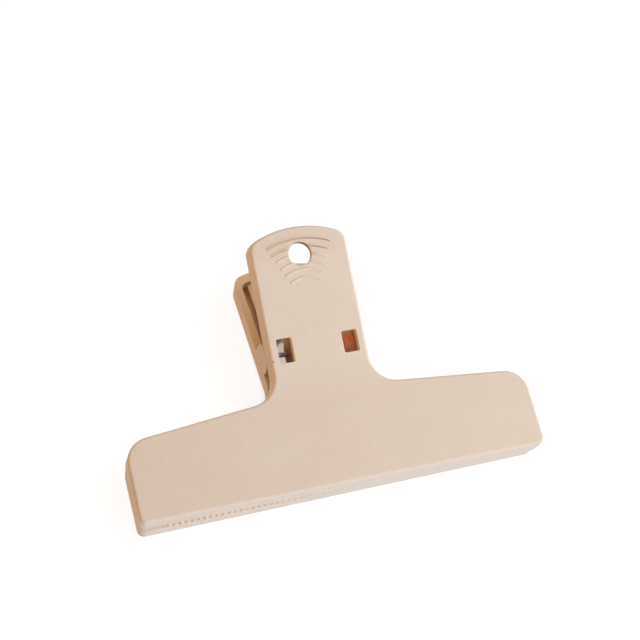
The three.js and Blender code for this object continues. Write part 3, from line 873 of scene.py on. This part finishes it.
# %% Pale card
CARD_GREY, CARD_SHADE, CARD_WHITE = "#9A9998", "#BCAAA2", "#FBFDFF"
SHADE_REACH, CARD_GLOW = 30 * MILLIMETRE, 0.86
scene = bpy.context.scene
scene.view_settings.view_transform = "Standard"
bpy.ops.mesh.primitive_plane_add(size=8, location=(0, 0, 0))
floor = bpy.context.object
floor.name = "floor"
floor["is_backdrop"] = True
floor.visible_diffuse = False
floor.visible_shadow = False
card, tree, shader = new_material("pale_card")
under = add(tree, "ShaderNodeAmbientOcclusion", {"samples": 8}, Distance=SHADE_REACH)
unhidden = add(tree, "ShaderNodeMapRange", SOFT, Value=under.outputs["AO"], **limits(0.05, 0.4))
glow = add(tree, "ShaderNodeMix", MIX, Factor_Float=unhidden, A_Color=linear(CARD_SHADE),
           B_Color=linear(CARD_WHITE))
dress(tree, shader, {
    "Base Color": linear(CARD_GREY),
    "Roughness": 0.9,
    "Emission Color": glow,
    "Emission Strength": CARD_GLOW,
})
paint(floor, card)

# %% [markdown]
# ## Light
# The light is that of a small studio. Lamps could do all of it, but a wall of the clip
# mirrors whatever stands opposite, so the room itself has colours by direction: cool and
# bright where the lips look, dim straight below, grey on the left and golden on the left
# behind. Three large lamps then shape the faces, and a small golden one warms the left rim.

# %% Colours of the room
FRONT_RIGHT, DOWN = (0.55, -0.83, 0), (0, 0, -1)
LEFT, LEFT_BEHIND = (-1, -0.2, -0.1), (-0.9, 0.1, 0.42)
AIR, BELOW, DEEP_BELOW = (0.42, 0.47, 0.53, 1), (0.17, 0.14, 0.13, 1), (0.1, 0.08, 0.06, 1)
BRIGHT_TABLE, LEFT_GREY, GOLD = (1.36, 1.5, 1.74, 1), (0.27, 0.26, 0.28, 1), (0.68, 0.33, 0.01, 1)
world = bpy.data.worlds.new("world")
scene.world = world
world.use_nodes = True
tree = world.node_tree
way = add(tree, "ShaderNodeTexCoord").outputs["Generated"]


def towards(direction, none, full):
    """0 to 1 as the view into the room turns towards a direction."""
    along = add(tree, "ShaderNodeVectorMath", {"operation": "DOT_PRODUCT"}, Vector=way,
                Vector_001=direction)
    return add(tree, "ShaderNodeMapRange", SOFT, Value=along, **limits(none, full))


below = add(tree, "ShaderNodeMix", MIX, Factor_Float=towards(FRONT_RIGHT, 0.22, 0.8),
            A_Color=BELOW, B_Color=BRIGHT_TABLE)
below = add(tree, "ShaderNodeMix", MIX, Factor_Float=towards(DOWN, 0.5, 0.9),
            A_Color=below, B_Color=DEEP_BELOW)
room = AIR
for share, colour in (
    (towards(DOWN, -0.1, 0.2), below),
    (towards(LEFT, 0.4, 0.9), LEFT_GREY),
    (towards(LEFT_BEHIND, 0.35, 0.9), GOLD),
):
    room = add(tree, "ShaderNodeMix", MIX, Factor_Float=share, A_Color=room, B_Color=colour)
dress(tree, tree.nodes["Background"], {"Color": room})
print("room:", len(tree.nodes), "nodes")


# %% Lamps
def softbox(name, place, size, watts, colour):
    lamp = bpy.data.lights.new(name, "AREA")
    lamp.shape = "RECTANGLE"
    lamp.size, lamp.size_y = size
    lamp.energy = watts
    lamp.color = colour
    obj = bpy.data.objects.new(name, lamp)
    scene.collection.objects.link(obj)
    obj.location = place
    obj.rotation_euler = (-Vector(place)).to_track_quat("-Z", "Y").to_euler()
    print(f"{name}: {watts} W from {obj.location.length:.2f} m away")
    return obj


softbox("key", (0.45, -0.15, 0.55), (0.7, 0.7), 3.05, (0.92, 1, 1.07))
softbox("front", (0.28, -0.6, 0.3), (0.5, 0.3), 1.05, (0.96, 0.99, 1.02))
softbox("rim", (0.5, -0.06, 0.05), (0.3, 0.06), 0.6, (1, 1, 1))
softbox("golden_card", (-0.12, 0.07, 0.06), (0.06, 0.05), 0.012, (1, 0.5, 0.05))

# %% [markdown]
# ## Moulded plastic: wear
# Both halves are satin cream polypropylene, moulded against a finely sparked steel tool.
# Handling leaves pale hairlines in patches, one scuff and two dark specks. They could be
# cut into the mesh, but they have no depth that shows, so they are tone and dullness in the
# material. Each is placed and sized in millimetres.

# %% Wear of the cream faces
CREAM, LIGHT_CREAM, RUBBED, SPECK = "#DFCCB9", "#E4D2C1", "#EEE3D6", "#6B5646"
HAIR_LENGTH, HAIR_WIDTH, HAIR_TURN, HAIR_PATCH = 12.5, 0.6944, 35, 8.333
SCUFF_PLACE, SCUFF_SIZE = (-49.55, -23.2, 16.93), (2.4, 0.34, 1.5)
SCUFF_TURN = math.radians(41)
SPECK_PLACES = ((-13.88, -1.73, 21.76), (0.67, -38.11, 8.46))


def rubbed_marks(tree, where):
    """How rubbed a spot is, 0 to 1: faint hairlines in patches, and the scuff."""
    along_hairs = in_millimetres(tree, (HAIR_LENGTH, HAIR_WIDTH, HAIR_WIDTH), HAIR_TURN)
    hairs = add(tree, "ShaderNodeTexNoise", Vector=along_hairs, Scale=1, Detail=2, Roughness=0.4)
    patches = add(tree, "ShaderNodeTexNoise", Vector=where, Scale=1 / HAIR_PATCH, Detail=1)
    thin = add(tree, "ShaderNodeMapRange", SOFT, Value=hairs, **limits(0.66, 0.72))
    faint = add(tree, "ShaderNodeMapRange", SOFT, Value=patches, **limits(0.5, 0.62, 0, 0.2))
    hairline = add(tree, "ShaderNodeMath", {"operation": "MULTIPLY"}, Value=thin,
                   Value_001=faint)
    on_scuff = add(tree, "ShaderNodeMapping", {"vector_type": "TEXTURE"}, Vector=where,
                   Location=SCUFF_PLACE, Rotation=(0, 0, SCUFF_TURN), Scale=SCUFF_SIZE)
    from_scuff = add(tree, "ShaderNodeVectorMath", {"operation": "LENGTH"}, Vector=on_scuff)
    scuff = add(tree, "ShaderNodeMapRange", SOFT, Value=from_scuff, **limits(1, 0.3, 0, 0.42))
    return add(tree, "ShaderNodeMath", {"operation": "MAXIMUM"}, Value=hairline,
               Value_001=scuff)


def worn_cream(tree, where, cloud, speckle, wear):
    """Tone of the open faces."""
    tone = add(tree, "ShaderNodeMix", MIX, Factor_Float=cloud, A_Color=linear(CREAM),
               B_Color=linear(LIGHT_CREAM))
    fleck = add(tree, "ShaderNodeMapRange", SOFT, Value=speckle, **limits(0.3, 0.7, 0.98, 1.02))
    tone = add(tree, "ShaderNodeMix", TINT, Factor_Float=1, A_Color=tone, B_Color=fleck)
    tone = add(tree, "ShaderNodeMix", MIX, Factor_Float=wear, A_Color=tone,
               B_Color=linear(RUBBED))
    for speck in SPECK_PLACES:
        away = add(tree, "ShaderNodeVectorMath", {"operation": "DISTANCE"}, Vector=where,
                   Vector_001=speck)
        dark = add(tree, "ShaderNodeMapRange", SOFT, Value=away, **limits(0.35, 0.2, 0, 0.6))
        tone = add(tree, "ShaderNodeMix", MIX, Factor_Float=dark, A_Color=tone,
                   B_Color=linear(SPECK))
    return tone


# %% [markdown]
# ## Moulded plastic: painted shade and glow
# Light sinks into this plastic and comes out again further on, so a hollow that should be
# grey is a deep orange brown. Subsurface scattering alone stays too pale at this size, so
# ambient occlusion finds the hollows and a painted shade of that orange brown goes into their
# colour. The window walls, the right cheek and the gaps between the teeth also get a painted
# glow, an emission, for the light that gets through.

# %% Parts of a moulding that get painted shade, glow or light
LIT_HINGE = (10.5, 4.1, 13.1)
CREVICE_REACH, HOLLOW_REACH = 10 * MILLIMETRE, 20 * MILLIMETRE
FACE_UP = Matrix.Rotation(TIP + LEAN, 3, "X") @ Vector((0, 0, 1))
SKIN_FOOT = FACE_UP.dot(laid @ on_lean(PIN_REACH, JAW_DEPTH)) / MILLIMETRE - PLATE
print(f"the front plate starts {SKIN_FOOT:.2f} mm up, along its own slope")


def moulding_zones(tree, where):
    """Shares, 0 to 1. A row says what is measured, where a zone starts and where it is full."""
    place = add(tree, "ShaderNodeSeparateXYZ", Vector=where).outputs
    normal = add(tree, "ShaderNodeNewGeometry").outputs["Normal"]
    facing = add(tree, "ShaderNodeSeparateXYZ", Vector=normal).outputs
    near, far = [
        add(tree, "ShaderNodeAmbientOcclusion", {"samples": 8}, Distance=reach).outputs["AO"]
        for reach in (CREVICE_REACH, HOLLOW_REACH)
    ]
    height = add(tree, "ShaderNodeVectorMath", {"operation": "DOT_PRODUCT"}, Vector=where,
                 Vector_001=FACE_UP)
    to_hinge = add(tree, "ShaderNodeVectorMath", {"operation": "DISTANCE"}, Vector=where,
                   Vector_001=LIT_HINGE)
    rows = {
        "lips": (place["Y"], -29, -35),
        "past_hinge": (place["Y"], 3, 9),
        "handle": (place["Y"], 7, 11),
        "far_end": (place["Y"], 24, 27),
        "left": (place["X"], 6, -4),
        "facing_up": (facing["Z"], 0.3, 0.8),
        "facing_lips": (facing["Y"], -0.3, -0.7),
        "front_plate": (height, SKIN_FOOT - 0.3, SKIN_FOOT + 0.2),
        "hinge": (to_hinge, 8, 4),
        "shallow": (far, 0, 0.3),
        "airy": (near, 0.05, 0.6),
        "pinched": (near, 0.55, 0.1),
    }
    zones = {}
    for name, (measure, start, full) in rows.items():
        zones[name] = add(tree, "ShaderNodeMapRange", SOFT, Value=measure, **limits(start, full))
    for name, operation, first, second in (
        ("open", "MAXIMUM", "lips", "airy"),
        ("rim", "MULTIPLY", "facing_up", "past_hinge"),
        ("shaded_inner_end", "MULTIPLY", "facing_lips", "far_end"),
        ("tooth_gaps", "MULTIPLY", "lips", "pinched"),
    ):
        zones[name] = add(tree, "ShaderNodeMath", {"operation": operation},
                          Value=zones[first], Value_001=zones[second])
    return zones


# %% [markdown]
# ## Moulded plastic: the whole finish
# The layers come together in one function, because the halves differ only in how light
# reaches them, and so in their painted shade, glow and rim light: the front one is lit
# through its plate, the rear one from between the handles. A real sparked grain is finer
# than a pixel, so it is drawn 0.3 mm wide, as coarse as it needs to be to break up the shine.

# %% Polypropylene, for both halves
CLOUD, SPECKLE, GRAIN = 16.667, 0.909, 0.3125
GRAIN_DEPTH, SINK_DEPTH = 0.04 * MILLIMETRE, 0.2 * MILLIMETRE
HANDLE_HOLLOW_SHADE, LIT_PLATE_EDGE, SHADED_INNER_END, TOOTH_GLOW = "#DDAA80", "#F2B66C", "#B98F6C", "#898981"
SINKING, RUBBED_DULLNESS = (1.0, 0.6, 0.35), 0.12


def polypropylene(name, hollow, deep_shade, rim_light_tint, edge_glow, inner_glow):
    plastic, tree, shader = new_material(name)
    where = in_millimetres(tree)
    zones = moulding_zones(tree, where)
    cloud = add(tree, "ShaderNodeTexNoise", Vector=where, Scale=1 / CLOUD, Detail=2, Roughness=0.5)
    speckle = add(tree, "ShaderNodeTexNoise", Vector=where, Scale=1 / SPECKLE, Detail=3,
                  Roughness=0.65)
    wear = rubbed_marks(tree, where)

    # Painted shade and light in the base colour: deep orange brown deep in the hollows, the half's
    # hollow tone where they are shallow, a paler tan in the handle, and a painted golden light on
    # the front plate's inner edge, for light through the plate.
    depth = linear(deep_shade)
    for zone, colour in (("shallow", hollow), ("handle", HANDLE_HOLLOW_SHADE),
                         ("front_plate", LIT_PLATE_EDGE)):
        depth = add(tree, "ShaderNodeMix", MIX, Factor_Float=zones[zone], A_Color=depth,
                    B_Color=linear(colour))
    tone = worn_cream(tree, where, cloud, speckle, wear)
    # Painted light: on the left, upward faces past the hinge take the half's tint, a golden light
    # from the left painted into the colour; the front half's tint is white, so only the rear shows
    # it.
    rim_light = add(tree, "ShaderNodeMix", MIX, Factor_Float=zones["left"], A_Color=UNTINTED,
                 B_Color=rim_light_tint)
    rim_lit_tone = add(tree, "ShaderNodeMix", TINT, Factor_Float=1, A_Color=tone, B_Color=rim_light)
    # Painted shade: the inner end walls of the handles, facing the lips, turn tan brown.
    for zone, colour in (("rim", rim_lit_tone), ("shaded_inner_end", linear(SHADED_INNER_END))):
        tone = add(tree, "ShaderNodeMix", MIX, Factor_Float=zones[zone], A_Color=tone,
                   B_Color=colour)
    # Away from the lips and the open faces, this painted shade takes the place of the cream.
    tone = add(tree, "ShaderNodeMix", MIX, Factor_Float=zones["open"], A_Color=depth,
               B_Color=tone)

    # Painted glow: an emission, though the plastic is no lamp, for light through thin walls: near
    # the lit hinge, on the plate's inner edge and in the gaps between the teeth; none on the open
    # faces, but some again in the tooth gaps.
    glow = linear(UNLIT)
    for zone, colour in (("hinge", inner_glow), ("front_plate", edge_glow), ("open", UNLIT),
                         ("tooth_gaps", TOOTH_GLOW)):
        glow = add(tree, "ShaderNodeMix", MIX, Factor_Float=zones[zone], A_Color=glow,
                   B_Color=linear(colour))

    satin = add(tree, "ShaderNodeMapRange", SOFT, Value=speckle, **limits(0.3, 0.7, 0.43, 0.54))
    dullness = add(tree, "ShaderNodeMath", {"operation": "MULTIPLY_ADD"}, Value=wear,
                   Value_001=RUBBED_DULLNESS, Value_002=satin)
    grain = add(tree, "ShaderNodeTexNoise", Vector=where, Scale=1 / GRAIN, Detail=4, Roughness=0.6)
    sparked = add(tree, "ShaderNodeBump", Strength=0.35, Distance=GRAIN_DEPTH, Height=grain)
    sink = add(tree, "ShaderNodeBump", Strength=0.3, Distance=SINK_DEPTH, Height=cloud,
               Normal=sparked)
    dress(tree, shader, {
        "Base Color": tone,
        "Emission Color": glow,
        "Emission Strength": 1,
        "Subsurface Weight": 0.3,
        "Subsurface Radius": SINKING,
        "Subsurface Scale": 1.2 * MILLIMETRE,
        "Roughness": dullness,
        "Normal": sink,
    })
    return plastic


# %% Paint the two halves
# For each half: its painted shade in the hollows, its painted glows, and on the rear a painted
# golden light on the left rim.
paint(front, polypropylene(
    "moulded_polypropylene_front", hollow="#A64A20", deep_shade="#561404", rim_light_tint=UNTINTED,
    edge_glow="#AA8650", inner_glow="#593017",
))
paint(rear, polypropylene(
    "moulded_polypropylene_rear", hollow="#F0964C", deep_shade="#F06822",
    rim_light_tint=(1.3, 1.12, 0.86, 1), edge_glow=UNLIT, inner_glow="#733413",
))

# %% [markdown]
# ## Drawn steel
# The pin is a length of bright drawn steel wire. The die leaves fine lines along it, which
# stretch the highlight across the bar. Anisotropy could do the same, but the lines also
# break up the edge of the highlight. They are drawn 0.13 mm wide, coarser than real ones,
# so that they show.

# %% Drawn steel on the pin
DRAWN_LINE = (11.11, 0.1333, 0.1333)
DRAWN_DEPTH = 0.02 * MILLIMETRE
drawn, tree, shader = new_material("drawn_steel")
lines = add(tree, "ShaderNodeTexNoise", Vector=in_millimetres(tree, DRAWN_LINE), Scale=1,
            Detail=3, Roughness=0.6)
dress(tree, shader, {
    "Metallic": 1,
    "Base Color": add(tree, "ShaderNodeMix", MIX, Factor_Float=lines,
                      A_Color=linear("#E2E0DD"), B_Color=linear("#F4F3F1")),
    "Roughness": add(tree, "ShaderNodeMapRange", SOFT, Value=lines,
                     **limits(0.3, 0.7, 0.14, 0.26)),
    "Normal": add(tree, "ShaderNodeBump", Strength=0.25, Distance=DRAWN_DEPTH, Height=lines),
})
paint(pin, drawn)

# %% [markdown]
# ## Zinc-plated wire
# The spring is hard wire with bright zinc on it. Zinc comes out in patches, some dull and
# bluish and some shinier and warmer, over the marks of the coiling tool. One noise gives
# the patches both their tone and their gloss, as on the real plating.

# %% Zinc on the spring
ZINC_PATCH, COILING_MARK = 1.4286, (0.1, 1.25, 1.25)
MARK_DEPTH = 0.02 * MILLIMETRE
zinc, tree, shader = new_material("zinc_plated_wire")
patches = add(tree, "ShaderNodeTexNoise", Vector=in_millimetres(tree), Scale=1 / ZINC_PATCH,
              Detail=3)
shiny = add(tree, "ShaderNodeMapRange", SOFT, Value=patches, **limits(0.35, 0.65))
marks = add(tree, "ShaderNodeTexNoise", Vector=in_millimetres(tree, COILING_MARK), Scale=1,
            Detail=2)
dress(tree, shader, {
    "Metallic": 1,
    "Base Color": add(tree, "ShaderNodeMix", MIX, Factor_Float=shiny,
                      A_Color=linear("#A9ADB3"), B_Color=linear("#D3D2CB")),
    "Roughness": add(tree, "ShaderNodeMapRange", SOFT, Value=patches,
                     **limits(0.35, 0.65, 0.46, 0.28)),
    "Normal": add(tree, "ShaderNodeBump", Strength=0.3, Distance=MARK_DEPTH, Height=marks),
})
paint(spring, zinc)

# %% [markdown]
# ## Ground ferrite
# The magnet is pressed from black ferrite powder, fired and ground flat. Grinding leaves
# straight dull lines, and the brittle rim loses small chips that look paler. The pattern
# is turned with the disc, so that the lines lie in its face and the chips keep to its rim.

# %% Ferrite on the magnet
GROUND_LINE, GRIT = (6.6667, 0.25, 1), 0.3846
CHIPPED_RIM = (5.35, 5.75)
GROUND_DEPTH = 0.06 * MILLIMETRE
ferrite, tree, shader = new_material("ground_ferrite")
disc = laid @ play @ turned_over @ seat
centre = [c / MILLIMETRE for c in disc.translation]
on_disc = add(tree, "ShaderNodeMapping", {"vector_type": "TEXTURE"},
              Vector=in_millimetres(tree), Location=centre, Rotation=disc.to_euler())
along_lines = add(tree, "ShaderNodeMapping", Vector=on_disc, Scale=[1 / s for s in GROUND_LINE])
streaks = add(tree, "ShaderNodeTexNoise", Vector=along_lines, Scale=2, Detail=3)
grit = add(tree, "ShaderNodeTexNoise", Vector=on_disc, Scale=1 / GRIT, Detail=4, Roughness=0.7)
in_face = add(tree, "ShaderNodeVectorMath", {"operation": "MULTIPLY"}, Vector=on_disc,
              Vector_001=(1, 1, 0))
from_axis = add(tree, "ShaderNodeVectorMath", {"operation": "LENGTH"}, Vector=in_face)
at_rim = add(tree, "ShaderNodeMapRange", SOFT, Value=from_axis, **limits(*CHIPPED_RIM))
coarse = add(tree, "ShaderNodeMapRange", SOFT, Value=grit, **limits(0.54, 0.6))
chips = add(tree, "ShaderNodeMath", {"operation": "MULTIPLY"}, Value=at_rim, Value_001=coarse)
stone = add(tree, "ShaderNodeMix", MIX, Factor_Float=streaks, A_Color=linear("#303033"),
            B_Color=linear("#46464A"))
relief = add(tree, "ShaderNodeMath", {"operation": "SUBTRACT"}, Value=streaks, Value_001=chips)
dress(tree, shader, {
    "Base Color": add(tree, "ShaderNodeMix", MIX, Factor_Float=chips, A_Color=stone,
                      B_Color=linear("#68676B")),
    "Roughness": add(tree, "ShaderNodeMapRange", SOFT, Value=streaks,
                     **limits(0.3, 0.7, 0.42, 0.62)),
    "Normal": add(tree, "ShaderNodeBump", Strength=0.5, Distance=GROUND_DEPTH, Height=relief),
})
paint(magnet, ferrite)

# %% [markdown]
# ## Size
# The box of the dressed clip is measured and printed, in millimetres.

# %% Print the box
low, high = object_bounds()
print("box:", [round((b - a) / MILLIMETRE, 1) for a, b in zip(low, high)], "mm")
